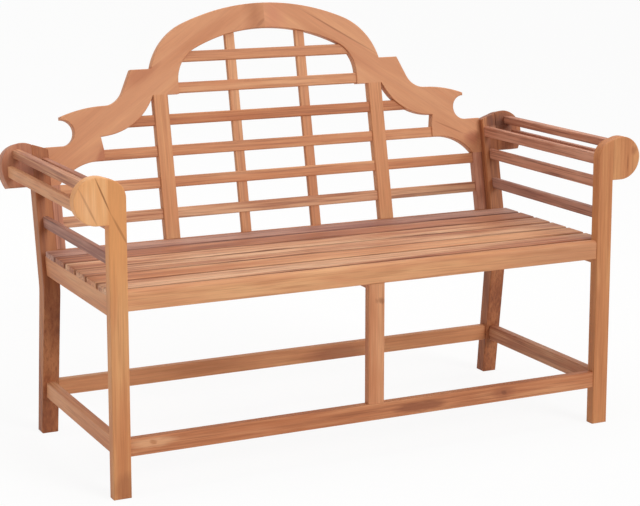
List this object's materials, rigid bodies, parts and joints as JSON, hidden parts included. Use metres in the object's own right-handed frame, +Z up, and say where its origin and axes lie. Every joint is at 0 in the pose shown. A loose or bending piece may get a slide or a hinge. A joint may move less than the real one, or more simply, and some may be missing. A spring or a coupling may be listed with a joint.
{
  "type": "garden bench",
  "caption": "Slatted teak garden bench with an arched lattice back that steps down in curved wings, rolled arms, flat seat and stretchers between its legs.",
  "frame": {"origin": "middle of the bench's box, on the floor", "axes": "+X to the right as seen from the front, +Y to the rear, +Z up"},
  "size_m": [1.34, 0.6098, 0.9482],
  "materials": {
    "teak": "oiled, sanded smooth",
    "dowel_wood": "plain turned",
    "screw_steel": "satin"
  },
  "bodies": {
    "root": {"arm_inner_slat_left": "teak", "arm_inner_slat_right": "teak", "arm_lower_slat_left": "teak", "arm_lower_slat_right": "teak", "arm_outer_slat_left": "teak", "arm_outer_slat_right": "teak", "arm_top_slat_left": "teak", "arm_top_slat_right": "teak", "arm_upper_slat_left": "teak", "arm_upper_slat_right": "teak", "back_leg_left": "teak", "back_leg_right": "teak", "back_roll_left": "teak", "back_roll_right": "teak", "crest_left": "teak", "crest_right": "teak", "crest_segment_left": "teak", "crest_segment_right": "teak", "dowel_pins": "dowel_wood", "end_stile_left": "teak", "end_stile_right": "teak", "front_centre_post": "teak", "front_leg_left": "teak", "front_leg_right": "teak", "front_rail": "teak", "front_roll_left": "teak", "front_roll_right": "teak", "front_stretcher": "teak", "lattice_slat_left_1": "teak", "lattice_slat_left_2": "teak", "lattice_slat_left_3": "teak", "lattice_slat_left_4": "teak", "lattice_slat_middle_1": "teak", "lattice_slat_middle_2": "teak", "lattice_slat_middle_3": "teak", "lattice_slat_middle_4": "teak", "lattice_slat_middle_5": "teak", "lattice_slat_middle_6": "teak", "lattice_slat_right_1": "teak", "lattice_slat_right_2": "teak", "lattice_slat_right_3": "teak", "lattice_slat_right_4": "teak", "narrow_upright_left": "teak", "narrow_upright_right": "teak", "rear_rail": "teak", "rear_stretcher": "teak", "seat_bearer": "teak", "seat_slat_1": "teak", "seat_slat_2": "teak", "seat_slat_3": "teak", "seat_slat_4": "teak", "seat_slat_5": "teak", "seat_slat_6": "teak", "side_rail_left": "teak", "side_rail_right": "teak", "side_stretcher_left": "teak", "side_stretcher_right": "teak", "slat_screws": "screw_steel", "upright_left": "teak", "upright_right": "teak"}
  },
  "joints": []
}
